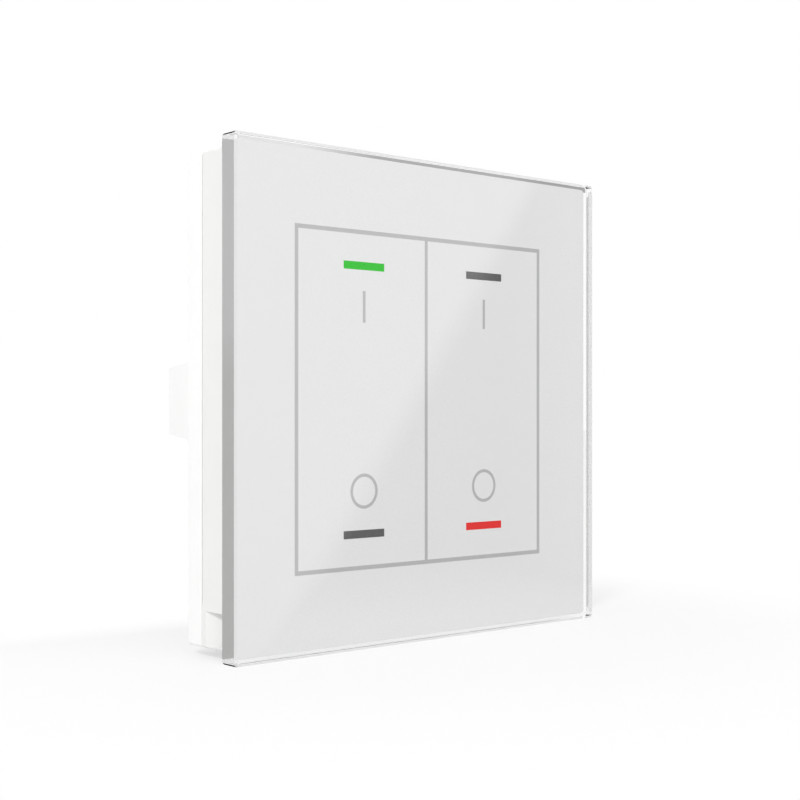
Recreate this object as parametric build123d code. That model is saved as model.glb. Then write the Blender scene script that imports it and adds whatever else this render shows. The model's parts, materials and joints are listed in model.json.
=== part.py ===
from build123d import *
import os
from math import atan2, degrees, radians, cos, sin

# Touch light switch: a glass-fronted wall plate with two touch zones and its in-wall relay unit.
# Frame: +X to the right seen from the room, +Z up, +Y into the wall. The origin is the centre of
# the rear base's back face, which lies on the wall. All lengths are in millimetres.

# Fits and cuts used all over the switch
cut_overrun = 1.0
drop_in_gap = 0.1
thread_gap = 0.02
turning_gap = 0.05

# Glass pane: one standard wall plate square of 4 mm float glass
glass_size = 86.0
glass_thickness = 4.0
glass_corner_radius = 0.8
glass_front_chamfer = 0.65
glass_back_chamfer = 0.3

# Inks on the back of the glass, and the marks that they draw
grey_ink_thickness = 0.05
white_ink_thickness = 0.1
ink_margin = 0.45
frame_line_span = 58.3
frame_line_width = 0.74
divider_width = 0.7
zone_spread = 29.0
indicator_spread = 46.6
indicator_length = 9.15
indicator_height = 1.4
on_mark_width = 0.6
on_mark_height = 5.5
on_mark_rise = 16.2
off_mark_radius = 2.78
off_mark_line = 0.57
off_mark_drop = 15.85

# Panel carrier, glued to the inks by a sheet and held by tongues in spring clips
bonding_thickness = 0.25
bonding_inset = 1.2
carrier_thickness = 1.0
carrier_corner_radius = 1.0
light_path_gap = 0.15
tongue_thickness = 1.2
tongue_width = 7.0
tongue_length = 5.4
tongue_lead_in = 0.3
tongue_inset = 4.3
tongue_spread_z = 40.0
clip_thickness = 0.3
clip_width = 6.0
clip_holder_wall = 1.1
clip_end_gap = 0.3

# Front housing
housing_inset = 1.6
housing_depth = 8.0
housing_wall = 2.0
housing_corner_radius = 0.5
housing_edge_radius = 0.25
seat_gap = 0.05
web_gap = 0.1
web_thickness = 1.5
pillar_inset = 5.9
pillar_radius = 3.0
pillar_length = 4.7

# Pry pocket in the housing's left side, where a blade lifts the panel: deepest behind the glass, with a
# ramp that runs out to the side
pocket_height = 5.9
pocket_length = 6.85
pocket_depth = 2.5
pocket_deep_length = 1.4
pocket_floor = 0.3
pocket_wall = 1.2
pocket_bend_radius = 3.0

# Rear base
joint_gap = 0.3
base_depth = 4.2
base_wall = 2.0
base_plate_thickness = 1.8
base_edge_radius = 0.4
base_lip_height = 1.5
base_lip_thickness = 1.2
base_boss_radius = 3.0

# Fixing slots for the wall box's own screws, and the steel plates under their heads
fixing_spacing = 60.3
fixing_slot_width = 4.2
fixing_slot_length = 7.0
driver_hole_radius = 4.5
slot_plate_width = 8.0
slot_plate_height = 13.0
slot_plate_thickness = 1.0
slot_plate_sink = 0.4
slot_plate_corner_radius = 1.5

# Screws: head and shank radius, head height and length under the head
housing_screw_head_radius = 2.2
housing_screw_head_height = 1.4
housing_screw_radius = 1.25
housing_screw_length = 7.0
small_screw_head_radius = 1.8
small_screw_head_height = 1.0
small_screw_radius = 0.9
board_screw_length = 3.0
box_screw_length = 3.0
power_screw_length = 6.0
recess_radius_share = 0.45
recess_depth_share = 0.6
recess_slit_share = 0.33

# Light guides, touch board and what it carries
guide_flange_overhang = 0.8
guide_flange_thickness = 0.6
guide_front_gap = 0.05
sensing_pad_radius = 5.0
sensing_pad_gap = 0.05
light_chamber = 1.3
board_margin_x = 10.5
board_margin_z = 6.7
touch_board_thickness = 1.2
touch_board_corner_radius = 1.5
board_boss_radius = 2.3
board_boss_inset = 3.0
led_length = 1.6
led_width = 0.8
led_height = 0.5
chip_size = 7.0
chip_height = 1.2
chip_rise = 10.0
small_part_length = 2.0
small_part_width = 1.25
small_part_height = 0.9
small_part_count = 6
small_part_pitch = 4.0
small_part_rise = 2.5

# Pin strip between the boards
pin_count = 6
pin_pitch = 2.54
pin_size = 0.64
pin_solder_length = 0.6
pin_mating_length = 3.0
strip_height = 2.5
strip_width = 2.5
socket_width = 3.2
socket_floor = 0.5
strip_drop = 20.5

# In-wall box
box_size = 50.6
box_roof_gap = 1.6
box_wall = 1.5
box_corner_radius = 2.0
box_rear_edge_radius = 0.8
flange_thickness = 1.5
flange_overhang = 4.0
flange_width = 44.0
flange_screw_spread = 32.0
post_size = 5.0

# Raised band across the box's back, which holds the terminals
band_depth = 8.0
band_root_height = 15.0
band_end_height = 12.6
band_rear_wall = 1.4
band_edge_radius = 0.4

# Power board
power_board_setback = 4.0
power_board_thickness = 1.6
power_board_gap = 0.5
power_board_corner_radius = 1.0

# Terminals: a block with a well for each rising cage, its screw and its copper bar
terminal_names = ("neutral", "live", "first_load", "second_load")
terminal_pitch = 10.5
block_height = 10.2
block_gap = 0.1
block_front_depth = 4.2
block_rear_wall = 0.7
block_flange_thickness = 1.1
block_flange_height = 13.2
block_flange_overhang = 1.0
cage_width = 5.6
cage_depth = 5.0
cage_height = 5.6
cage_wall = 0.9
cage_gap = 0.1
clamp_travel = 1.8
clamp_screw_head_radius = 1.9
clamp_screw_head_height = 1.2
clamp_screw_head_sink = 0.1
clamp_screw_radius = 1.25
clamp_screw_tip_gap = 0.1
clamp_shoulder = 0.6
driver_slot_width = 0.6
driver_slot_depth = 0.6
driver_access_radius = 1.75
wire_entry_radius = 1.35
bar_width = 3.2
bar_thickness = 0.8
bar_end_gap = 0.4
bar_solder_length = 0.8

# Relays: case outside and the working parts inside, with heights counted from the power board
relay_length = 18.4
relay_width = 10.2
relay_height = 15.3
relay_wall = 0.7
relay_fit = 0.05
relay_from_side = 11.7
relay_from_top = 10.0
relay_base_thickness = 1.0
yoke_thickness = 0.8
yoke_leg_thickness = 1.0
yoke_width = 6.0
yoke_foot_length = 8.6
yoke_lift = 0.1
core_radius = 1.2
core_setback = 3.5
pole_radius = 1.9
pole_height = 0.4
bobbin_tube_wall = 0.35
bobbin_flange_radius = 3.8
bobbin_flange_thickness = 0.6
winding_radius = 3.4
armature_gap = 0.5
armature_thickness = 0.8
armature_length = 8.6
armature_tail = 1.9
hinge_setback = 0.5
hinge_gap = 0.03
contact_strip_thickness = 0.25
contact_strip_width = 3.0
contact_strip_length = 10.2
contact_radius = 0.9
contact_height = 0.5
contact_end_inset = 0.6
fixed_contact_height = 0.25
fixed_strip_thickness = 0.4
fixed_strip_gap = 0.7
closing_gap = 0.03
contact_roof_gap = 0.35

# Other parts on the power board, with their places counted from its edges
film_capacitor_length = 17.5
film_capacitor_width = 8.5
film_capacitor_height = 13.5
film_capacitor_edge_radius = 0.6
film_capacitor_from_left = 11.3
film_capacitor_from_bottom = 9.9
can_radius = 4.0
can_height = 12.0
can_top_groove = 0.3
can_from_left = 26.8
can_from_bottom = 10.3
rectifier_length = 6.5
rectifier_width = 4.6
rectifier_height = 2.6
rectifier_from_right = 9.3
rectifier_from_bottom = 14.5
fuse_radius = 1.8
fuse_length = 8.0
fuse_from_right = 9.3
fuse_from_bottom = 10.1
varistor_radius = 3.5
varistor_thickness = 3.2
varistor_from_right = 9.8
varistor_from_bottom = 6.1
regulator_length = 5.0
regulator_width = 4.0
regulator_height = 1.5
regulator_from_right = 13.3
regulator_from_top = 11.3

# Depth places along Y, from the wall to the room
wall_face = 0.0
base_plate_front = wall_face - base_plate_thickness
base_front = wall_face - base_depth
housing_back = base_front - joint_gap
housing_front = housing_back - housing_depth
ink_back = housing_front - seat_gap
glass_back = ink_back - white_ink_thickness
glass_front = glass_back - glass_thickness
bonding_back = ink_back + bonding_thickness
carrier_back = bonding_back + carrier_thickness
web_front = carrier_back + web_gap
web_back = web_front + web_thickness
touch_board_front = web_back + light_chamber
touch_board_back = touch_board_front + touch_board_thickness
tongue_end = carrier_back + tongue_length
clip_back = tongue_end + clip_end_gap + clip_thickness
pillar_end = web_back + pillar_length

# Depth places along Y, from the wall into the wall box
flange_front = base_plate_front - flange_thickness
power_board_front = wall_face + power_board_setback
power_board_back = power_board_front + power_board_thickness
tallest_part = max(relay_height, film_capacitor_height, can_height)
cavity_back = power_board_back + tallest_part + box_roof_gap
box_back = cavity_back + box_wall
band_back = box_back + band_depth
band_hollow_back = band_back - band_rear_wall
block_back = band_hollow_back - block_gap
well_back = block_back - block_rear_wall
cage_back = well_back - cage_gap
cage_front = cage_back - cage_depth
well_front = cage_front - cage_gap
block_front = well_front - block_front_depth

# Outlines
housing_size = glass_size - 2 * housing_inset
housing_inner = housing_size - 2 * housing_wall
housing_inner_corner = housing_corner_radius / 2
ink_size = glass_size - 2 * glass_back_chamfer - 2 * ink_margin
carrier_size = housing_inner - 2 * drop_in_gap
tongue_spread_x = carrier_size - 2 * tongue_inset
pillar_spread = housing_inner - 2 * pillar_inset
touch_board_width = zone_spread + 2 * board_margin_x
touch_board_height = indicator_spread + 2 * board_margin_z
box_inner = box_size - 2 * box_wall
power_board_size = box_inner - 2 * power_board_gap
relay_spread = power_board_size - 2 * relay_from_side
relay_rise = power_board_size / 2 - relay_from_top
terminal_count = len(terminal_names)
block_width = terminal_count * terminal_pitch

# Heights in the terminal block, from its screw side at the bottom to its top
block_bottom = -block_height / 2
screw_head_bottom = block_bottom + clamp_screw_head_sink
screw_head_top = screw_head_bottom + clamp_screw_head_height
well_bottom = screw_head_top + clamp_shoulder
cage_bottom = well_bottom + turning_gap + clamp_travel
cage_top = cage_bottom + cage_height
well_top = cage_top + cage_gap
bar_bottom = cage_bottom + cage_wall + clamp_screw_tip_gap + turning_gap
bar_top = bar_bottom + bar_thickness
wire_entry_height = (bar_top + cage_top - cage_wall) / 2


def block(width, height, front, back, x=0, z=0, corner=0):
    """Box of an X width and a Z height about (x, z), from y = front to y = back."""
    solid = Pos(x, (front + back) / 2, z) * Box(width, back - front, height)
    if corner > 0:
        solid = fillet(solid.edges().filter_by(Axis.Y), corner)
    return solid


def rod(radius, front, back, x=0, z=0):
    """Cylinder along Y about (x, z), from y = front to y = back."""
    return Pos(x, (front + back) / 2, z) * Rot(90, 0, 0) * Cylinder(radius, back - front)


def upright(radius, bottom, top, x, y):
    """Cylinder along Z about (x, y), from z = bottom to z = top."""
    return Pos(x, y, (bottom + top) / 2) * Cylinder(radius, top - bottom)


def long_slot(width, length, front, back, x=0, z=0):
    """Slot cutter along Y, its length along X, with round ends."""
    straight = length - width
    slot = block(straight, width, front, back, x, z)
    for side in (-1, 1):
        slot += rod(width / 2, front, back, x + side * straight / 2, z)
    return slot


def four_places(spread_x, spread_z):
    """The four corners of a rectangle about the middle, as (x, z) pairs."""
    return [(i * spread_x / 2, k * spread_z / 2) for i in (-1, 1) for k in (-1, 1)]


def two_sides(spread):
    """The two places at either side of the middle."""
    return [-spread / 2, spread / 2]


def group(solids):
    """Separate solids of one kind as one shape."""
    return Compound([piece for shape in solids for piece in shape.solids()])


def cross_recess(radius, height, front):
    """Driver recess cut into a screw head whose outer face is at y = front."""
    reach = 2 * radius * recess_radius_share
    slit = reach * recess_slit_share
    start = front - cut_overrun
    floor = front + height * recess_depth_share
    return block(reach, slit, start, floor) + block(slit, reach, start, floor)


def front_screw(head_radius, head_height, radius, length, seat, x, z):
    """Screw driven from the room: its head ends at y = seat and its shank goes on into the wall."""
    face = seat - head_height
    head = rod(head_radius, face, seat) - cross_recess(head_radius, head_height, face)
    return Pos(x, 0, z) * (head + rod(radius, seat, seat + length))


def indicator_places():
    """The (x, z) places of the four indicator bars: left and right columns, low and high."""
    return four_places(zone_spread, indicator_spread)


def indicator_bar(front, back, x, z, reach=0):
    """An indicator bar's outline from front to back, grown by a reach on each side."""
    return block(indicator_length + 2 * reach, indicator_height + 2 * reach, front, back, x, z)


# Glass panel


def build_glass_pane():
    pane = block(glass_size, glass_size, glass_front, glass_back, corner=glass_corner_radius)
    pane = chamfer(pane.faces().sort_by(Axis.Y)[0].edges(), glass_front_chamfer)
    return chamfer(pane.faces().sort_by(Axis.Y)[-1].edges(), glass_back_chamfer)


def grey_marks():
    """Frame with its divider, and the on and off mark of each touch zone."""
    back = glass_back + grey_ink_thickness
    outer = frame_line_span + frame_line_width
    inner = frame_line_span - frame_line_width
    frame = block(outer, outer, glass_back, back) - block(inner, inner, glass_back, back)
    marks = [frame + block(divider_width, inner, glass_back, back)]
    for x in two_sides(zone_spread):
        marks.append(block(on_mark_width, on_mark_height, glass_back, back, x, on_mark_rise))
        ring = rod(off_mark_radius + off_mark_line / 2, glass_back, back, x, -off_mark_drop)
        marks.append(ring - rod(off_mark_radius - off_mark_line / 2, glass_back, back, x, -off_mark_drop))
    return marks


def build_white_print():
    sheet = block(ink_size, ink_size, glass_back, ink_back, corner=glass_corner_radius)
    for mark in grey_marks():
        sheet -= mark
    for x, z in indicator_places():
        sheet -= indicator_bar(glass_back, ink_back, x, z)
    return sheet


def build_indicator_window(x, z):
    return indicator_bar(glass_back, ink_back, x, z)


def build_bonding_sheet():
    size = carrier_size - 2 * bonding_inset
    sheet = block(size, size, ink_back, bonding_back, corner=carrier_corner_radius)
    for x, z in indicator_places():
        sheet -= indicator_bar(ink_back, bonding_back, x, z, light_path_gap)
    return sheet


def build_panel_carrier():
    carrier = block(carrier_size, carrier_size, bonding_back, carrier_back, corner=carrier_corner_radius)
    for x, z in indicator_places():
        carrier -= indicator_bar(bonding_back, carrier_back, x, z, light_path_gap)
    for x, z in four_places(tongue_spread_x, tongue_spread_z):
        tongue = block(tongue_thickness, tongue_width, carrier_back, tongue_end, x, z)
        end_edges = tongue.faces().sort_by(Axis.Y)[-1].edges()
        carrier += chamfer(end_edges, tongue_lead_in)
    return carrier


# Front housing and what it carries


def clip_holder_outline(wall):
    """Width and height of the holder behind the web, or of its hollow when the wall is zero."""
    width = tongue_thickness + 2 * clip_thickness + 2 * drop_in_gap + 2 * wall
    return width, max(clip_width, tongue_width) + 2 * drop_in_gap + 2 * wall


def pocket_place():
    """The pry pocket's middle height and its left and right ends in X."""
    bottom = -housing_size / 2 + pocket_floor
    return bottom + pocket_height / 2, -housing_size / 2, -housing_size / 2 + pocket_depth


def pocket_shell():
    """Thicker wall round the pry pocket, flush with the housing's outside."""
    z, left, right = pocket_place()
    inner = right + pocket_wall
    top = z + pocket_height / 2 + pocket_wall
    bottom = -housing_size / 2
    middle = (left + inner) / 2
    return block(inner - left, top - bottom, web_front, housing_back, middle, (top + bottom) / 2)


def pocket_cut():
    z, left, right = pocket_place()
    start = left - cut_overrun
    front = housing_front - cut_overrun
    bend = housing_front + pocket_deep_length
    back = housing_front + pocket_length
    outline = Polyline((start, front), (right, front), (right, bend), (left, back), (start, back), close=True)
    cut = Pos(0, 0, z) * extrude(make_face(outline), pocket_height / 2, both=True)
    bend_edge = cut.edges().filter_by(Axis.Z).group_by(Axis.X)[-1].sort_by(Axis.Y)[-1:]
    return fillet(bend_edge, pocket_bend_radius)


def build_front_housing():
    shell = block(housing_size, housing_size, housing_front, housing_back, corner=housing_corner_radius)
    shell = fillet(shell.faces().sort_by(Axis.Y)[-1].edges(), housing_edge_radius)
    recess_front = housing_front - cut_overrun
    shell -= block(housing_inner, housing_inner, recess_front, web_front, corner=housing_inner_corner)
    cavity_end = housing_back + cut_overrun
    shell -= block(housing_inner, housing_inner, web_back, cavity_end, corner=housing_inner_corner)
    shell += pocket_shell() & block(housing_size, housing_size, housing_front, housing_back,
                                    corner=housing_corner_radius)
    for x, z in four_places(pillar_spread, pillar_spread):
        shell += rod(pillar_radius, web_back, pillar_end, x, z)
    for x, z in touch_board_screw_places():
        shell += rod(board_boss_radius, web_back, touch_board_front, x, z)
    for x, z in four_places(tongue_spread_x, tongue_spread_z):
        width, height = clip_holder_outline(clip_holder_wall)
        shell += block(width, height, web_back, clip_back, x, z)
    return shell - front_housing_cuts()


def front_housing_cuts():
    """Everything that goes through the web, its pillars, bosses and clip holders, and the pry pocket."""
    cuts = [pocket_cut()]
    front = web_front - cut_overrun
    for x, z in four_places(pillar_spread, pillar_spread):
        seat = web_front + housing_screw_head_height + drop_in_gap
        cuts.append(rod(housing_screw_head_radius + drop_in_gap, front, seat, x, z))
        cuts.append(rod(housing_screw_radius + drop_in_gap, front, pillar_end + cut_overrun, x, z))
    for x, z in touch_board_screw_places():
        tip = touch_board_back - board_screw_length - drop_in_gap
        cuts.append(rod(small_screw_radius + thread_gap, tip, touch_board_front + cut_overrun, x, z))
    for x, z in four_places(tongue_spread_x, tongue_spread_z):
        gap = 2 * drop_in_gap
        cuts.append(block(tongue_thickness + gap, tongue_width + gap, front, web_back + cut_overrun, x, z))
        width, height = clip_holder_outline(0)
        cuts.append(block(width, height, web_back, clip_back + cut_overrun, x, z))
    for x, z in indicator_places():
        cuts.append(indicator_bar(front, web_back + cut_overrun, x, z, light_path_gap))
    for x, z in sensing_places():
        cuts.append(rod(sensing_pad_radius + 2 * drop_in_gap, front, web_back + cut_overrun, x, z))
    for x in two_sides(fixing_spacing):
        cuts.append(rod(driver_hole_radius, front, web_back + cut_overrun, x))
    return group(cuts)


def build_spring_clip(x, z):
    """U-shaped spring clip, open to the room, whose legs grip one tongue."""
    front = web_back + drop_in_gap
    legs = block(tongue_thickness + 2 * clip_thickness, clip_width, front, clip_back, x, z)
    return legs - block(tongue_thickness, clip_width, front, clip_back - clip_thickness, x, z)


def build_light_guide(x, z):
    front = ink_back + guide_front_gap
    guide = indicator_bar(front, web_back, x, z)
    return guide + indicator_bar(web_back, web_back + guide_flange_thickness, x, z, guide_flange_overhang)


def sensing_places():
    """A pad behind each on and off mark, as (x, z) pairs."""
    return [(x, z) for x in two_sides(zone_spread) for z in (on_mark_rise, -off_mark_drop)]


def touch_board_screw_places():
    spread_x = touch_board_width - 2 * board_boss_inset
    spread_z = touch_board_height - 2 * board_boss_inset
    return four_places(spread_x, spread_z)


def build_touch_board():
    board = block(touch_board_width, touch_board_height, touch_board_front, touch_board_back,
                  corner=touch_board_corner_radius)
    for x, z in touch_board_screw_places():
        board -= rod(small_screw_radius + drop_in_gap, touch_board_front, touch_board_back, x, z)
    return board


def build_touch_board_screw(x, z):
    """Screw driven from behind the touch board into the housing's boss."""
    seat = touch_board_back
    outer = seat + small_screw_head_height
    recess = Rot(180, 0, 0) * cross_recess(small_screw_head_radius, small_screw_head_height, -outer)
    head = rod(small_screw_head_radius, seat, outer) - recess
    return Pos(x, 0, z) * (head + rod(small_screw_radius, seat - board_screw_length, seat))


def build_sensing_pad(x, z):
    return rod(sensing_pad_radius, carrier_back + sensing_pad_gap, touch_board_front, x, z)


def build_led(x, z):
    return block(led_length, led_width, touch_board_front - led_height, touch_board_front, x, z)


def build_touch_chip():
    return block(chip_size, chip_size, touch_board_back, touch_board_back + chip_height, z=chip_rise)


def build_small_part(number):
    x = (number - (small_part_count - 1) / 2) * small_part_pitch
    back = touch_board_back + small_part_height
    return block(small_part_width, small_part_length, touch_board_back, back, x, small_part_rise)


# Pin strip between the boards


def pin_places():
    return [(i - (pin_count - 1) / 2) * pin_pitch for i in range(pin_count)]


def strip_front():
    return power_board_front - strip_height


def build_strip_body():
    body = block(pin_count * pin_pitch, strip_width, strip_front(), power_board_front, z=-strip_drop)
    for x in pin_places():
        body -= block(pin_size, pin_size, strip_front(), power_board_front, x, -strip_drop)
    return body


def build_pins():
    front = strip_front() - pin_mating_length
    back = power_board_back + pin_solder_length
    return group([block(pin_size, pin_size, front, back, x, -strip_drop) for x in pin_places()])


def build_socket():
    """Socket behind the touch board: it reaches back to the strip and takes its pins."""
    body = block(pin_count * pin_pitch, socket_width, touch_board_back, strip_front(), z=-strip_drop)
    hole = pin_size + 2 * drop_in_gap
    front = strip_front() - pin_mating_length - socket_floor
    for x in pin_places():
        body -= block(hole, hole, front, strip_front(), x, -strip_drop)
    return body


# Rear base and the steel plates at its slots


def build_rear_base():
    base = block(housing_size, housing_size, base_front, wall_face, corner=housing_corner_radius)
    base = fillet(base.faces().sort_by(Axis.Y)[-1].edges(), base_edge_radius)
    base = fillet(base.faces().sort_by(Axis.Y)[0].edges(), housing_edge_radius)
    hollow = housing_size - 2 * base_wall
    base -= block(hollow, hollow, base_front - cut_overrun, base_plate_front, corner=housing_inner_corner)
    base += base_lip()
    for x, z in four_places(pillar_spread, pillar_spread):
        base += rod(base_boss_radius, pillar_end, base_plate_front, x, z)
    return base - rear_base_cuts()


def base_lip():
    """Lip that stands in the housing's walls, open where the pry pocket reaches in."""
    outer = housing_inner - 2 * drop_in_gap
    inner = outer - 2 * base_lip_thickness
    front = base_front - base_lip_height
    lip = block(outer, outer, front, base_plate_front, corner=housing_inner_corner)
    lip -= block(inner, inner, front, base_plate_front)
    z, _, right = pocket_place()
    reach = pocket_wall + drop_in_gap
    top = z + pocket_height / 2 + reach
    opening = 2 * (right + reach + housing_size / 2)
    height = top + housing_size / 2
    middle = (top - housing_size / 2) / 2
    return lip - block(opening, height, front, base_front, -housing_size / 2, middle)


def rear_base_cuts():
    """Opening for the in-wall box, the fixing slots with their plate sinks, and the screw holes."""
    opening = box_size + 2 * drop_in_gap
    corner = box_corner_radius + drop_in_gap
    front = base_plate_front - cut_overrun
    back = wall_face + cut_overrun
    cuts = [block(opening, opening, front, back, corner=corner)]
    for x in two_sides(fixing_spacing):
        cuts.append(long_slot(fixing_slot_width, fixing_slot_length, front, back, x))
        width = slot_plate_width + 2 * drop_in_gap
        height = slot_plate_height + 2 * drop_in_gap
        floor = base_plate_front + slot_plate_sink
        cuts.append(block(width, height, front, floor, x, corner=slot_plate_corner_radius))
    for x, z in four_places(pillar_spread, pillar_spread):
        tip = web_front + housing_screw_head_height + drop_in_gap + housing_screw_length + drop_in_gap
        cuts.append(rod(housing_screw_radius + thread_gap, pillar_end - cut_overrun, tip, x, z))
    for x, z in box_screw_places():
        tip = flange_front + box_screw_length + drop_in_gap
        cuts.append(rod(small_screw_radius + thread_gap, front, tip, x, z))
    return group(cuts)


def build_slot_plate(x):
    front = base_plate_front + slot_plate_sink - slot_plate_thickness
    back = base_plate_front + slot_plate_sink
    plate = block(slot_plate_width, slot_plate_height, front, back, x, corner=slot_plate_corner_radius)
    return plate - long_slot(fixing_slot_width, fixing_slot_length, front, back, x)


def build_housing_screw(x, z):
    seat = web_front + housing_screw_head_height + drop_in_gap
    return front_screw(housing_screw_head_radius, housing_screw_head_height, housing_screw_radius,
                       housing_screw_length, seat, x, z)


# In-wall box


def box_screw_places():
    rise = box_size / 2 + flange_overhang / 2
    return four_places(flange_screw_spread, 2 * rise)


def band_solid():
    """Band across the box's back, its top and underside drawn in towards the end."""
    root = band_root_height / 2
    end = band_end_height / 2
    underside = [(cavity_back, -root), (box_back, -root), (band_back, -end)]
    top = [(band_back, end), (box_back, root), (cavity_back, root)]
    side = Plane.YZ * make_face(Polyline(underside + top, close=True))
    band = extrude(side, box_size / 2, both=True)
    return fillet(band.faces().sort_by(Axis.Y)[-1].edges(), band_edge_radius)


def build_in_wall_box():
    box = block(box_size, box_size, flange_front, box_back, corner=box_corner_radius)
    box = fillet(box.faces().sort_by(Axis.Y)[-1].edges(), box_rear_edge_radius)
    flange_height = box_size + 2 * flange_overhang
    box += block(flange_width, flange_height, flange_front, base_plate_front)
    box += band_solid()
    inner_corner = max(box_corner_radius - box_wall, drop_in_gap)
    cavity = block(box_inner, box_inner, flange_front - cut_overrun, cavity_back, corner=inner_corner)
    post_spread = box_inner - post_size
    for x, z in four_places(post_spread, post_spread):
        cavity -= block(post_size, post_size, power_board_back, cavity_back, x, z)
    box -= cavity
    return box - in_wall_box_cuts()


def in_wall_box_cuts():
    """Hollow of the band, its wire entries and driver holes, and the screw holes."""
    gap = 2 * block_gap
    cuts = [block(block_width + gap, block_height + gap, cavity_back - cut_overrun, band_hollow_back)]
    entry_start = band_hollow_back - cut_overrun
    entry_end = band_back + cut_overrun
    access_start = -band_root_height / 2 - cut_overrun
    for x in terminal_places():
        cuts.append(rod(wire_entry_radius, entry_start, entry_end, x, wire_entry_height))
        cuts.append(upright(driver_access_radius, access_start, block_bottom, x, clamp_axis_y()))
    for x, z in box_screw_places():
        hole_start = flange_front - cut_overrun
        cuts.append(rod(small_screw_radius + drop_in_gap, hole_start, base_plate_front, x, z))
    for x, z in power_screw_places():
        tip = power_board_front + power_screw_length + drop_in_gap
        cuts.append(rod(small_screw_radius + thread_gap, power_board_back - cut_overrun, tip, x, z))
    return group(cuts)


def build_box_screw(x, z):
    return front_screw(small_screw_head_radius, small_screw_head_height, small_screw_radius,
                       box_screw_length, flange_front, x, z)


# Power board and its parts


def from_left(distance):
    """X at a distance from the power board's left edge."""
    return -power_board_size / 2 + distance


def from_right(distance):
    return power_board_size / 2 - distance


def from_bottom(distance):
    """Z at a distance from the power board's bottom edge."""
    return -power_board_size / 2 + distance


def from_top(distance):
    return power_board_size / 2 - distance


def power_screw_places():
    spread = box_inner - post_size
    return four_places(spread, spread)


def build_power_board():
    board = block(power_board_size, power_board_size, power_board_front, power_board_back,
                  corner=power_board_corner_radius)
    for x, z in power_screw_places():
        board -= rod(small_screw_radius + drop_in_gap, power_board_front, power_board_back, x, z)
    for x in terminal_places():
        width = bar_width + 2 * drop_in_gap
        height = bar_thickness + 2 * drop_in_gap
        middle = (bar_bottom + bar_top) / 2
        board -= block(width, height, power_board_front, power_board_back, x, middle)
    for x in pin_places():
        hole = pin_size + 2 * drop_in_gap
        board -= block(hole, hole, power_board_front, power_board_back, x, -strip_drop)
    return board


def build_power_screw(x, z):
    return front_screw(small_screw_head_radius, small_screw_head_height, small_screw_radius,
                       power_screw_length, power_board_front, x, z)


def build_film_capacitor():
    back = power_board_back + film_capacitor_height
    body = block(film_capacitor_length, film_capacitor_width, power_board_back, back,
                 from_left(film_capacitor_from_left), from_bottom(film_capacitor_from_bottom))
    return fillet(body.faces().sort_by(Axis.Y)[-1].edges(), film_capacitor_edge_radius)


def build_storage_capacitor():
    back = power_board_back + can_height
    x = from_left(can_from_left)
    z = from_bottom(can_from_bottom)
    can = rod(can_radius, power_board_back, back, x, z)
    for length, height in ((can_radius, can_top_groove), (can_top_groove, can_radius)):
        can -= block(length, height, back - can_top_groove, back, x, z)
    return can


def build_rectifier():
    back = power_board_back + rectifier_height
    return block(rectifier_length, rectifier_width, power_board_back, back,
                 from_right(rectifier_from_right), from_bottom(rectifier_from_bottom))


def build_fuse():
    y = power_board_back + fuse_radius
    place = Pos(from_right(fuse_from_right), y, from_bottom(fuse_from_bottom))
    return place * Rot(0, 90, 0) * Cylinder(fuse_radius, fuse_length)


def build_varistor():
    y = power_board_back + varistor_radius
    place = Pos(from_right(varistor_from_right), y, from_bottom(varistor_from_bottom))
    return place * Cylinder(varistor_radius, varistor_thickness)


def build_regulator():
    front = power_board_front - regulator_height
    return block(regulator_length, regulator_width, front, power_board_front,
                 from_right(regulator_from_right), from_top(regulator_from_top))


# Terminals


def terminal_places():
    return [(i - (terminal_count - 1) / 2) * terminal_pitch for i in range(terminal_count)]


def clamp_axis_y():
    """Y of every clamp screw's axis, which runs along Z through the middle of its cage."""
    return (cage_front + cage_back) / 2


def build_terminal_block():
    body = block(block_width, block_height, block_front, block_back)
    flange_front_face = cavity_back - block_flange_thickness
    flange_width_here = block_width + 2 * block_flange_overhang
    body += block(flange_width_here, block_flange_height, flange_front_face, cavity_back)
    well_middle = (well_bottom + well_top) / 2
    bar_middle = (bar_bottom + bar_top) / 2
    axis_y = clamp_axis_y()
    for x in terminal_places():
        width = cage_width + 2 * cage_gap
        body -= block(width, well_top - well_bottom, well_front, well_back, x, well_middle)
        slot_height = bar_thickness + 2 * thread_gap
        body -= block(bar_width + 2 * thread_gap, slot_height, block_front, well_front, x, bar_middle)
        body -= rod(wire_entry_radius, well_back, block_back, x, wire_entry_height)
        pocket_radius = clamp_screw_head_radius + turning_gap
        body -= upright(pocket_radius, block_bottom, screw_head_top, x, axis_y)
        body -= upright(clamp_screw_radius + turning_gap, screw_head_top, well_bottom, x, axis_y)
    return body


def build_terminal_bar(x):
    front = power_board_front - bar_solder_length
    return block(bar_width, bar_thickness, front, cage_back - bar_end_gap, x, (bar_bottom + bar_top) / 2)


def build_clamp_cage(x):
    """Rising cage: a square loop open along Y, threaded on its screw at the bottom."""
    middle = (cage_bottom + cage_top) / 2
    cage = block(cage_width, cage_height, cage_front, cage_back, x, middle)
    inner_width = cage_width - 2 * cage_wall
    inner_height = cage_height - 2 * cage_wall
    cage -= block(inner_width, inner_height, cage_front, cage_back, x, middle)
    hole_radius = clamp_screw_radius + turning_gap
    return cage - upright(hole_radius, cage_bottom, cage_bottom + cage_wall, x, clamp_axis_y())


def build_clamp_screw(x):
    axis_y = clamp_axis_y()
    head = upright(clamp_screw_head_radius, screw_head_bottom, screw_head_top - turning_gap, x, axis_y)
    slit = Pos(x, axis_y, screw_head_bottom + driver_slot_depth / 2)
    head -= slit * Box(driver_slot_width, 2 * clamp_screw_head_radius, driver_slot_depth)
    tip = bar_bottom - clamp_screw_tip_gap
    return head + upright(clamp_screw_radius, screw_head_top - turning_gap, tip, x, axis_y)


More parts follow.
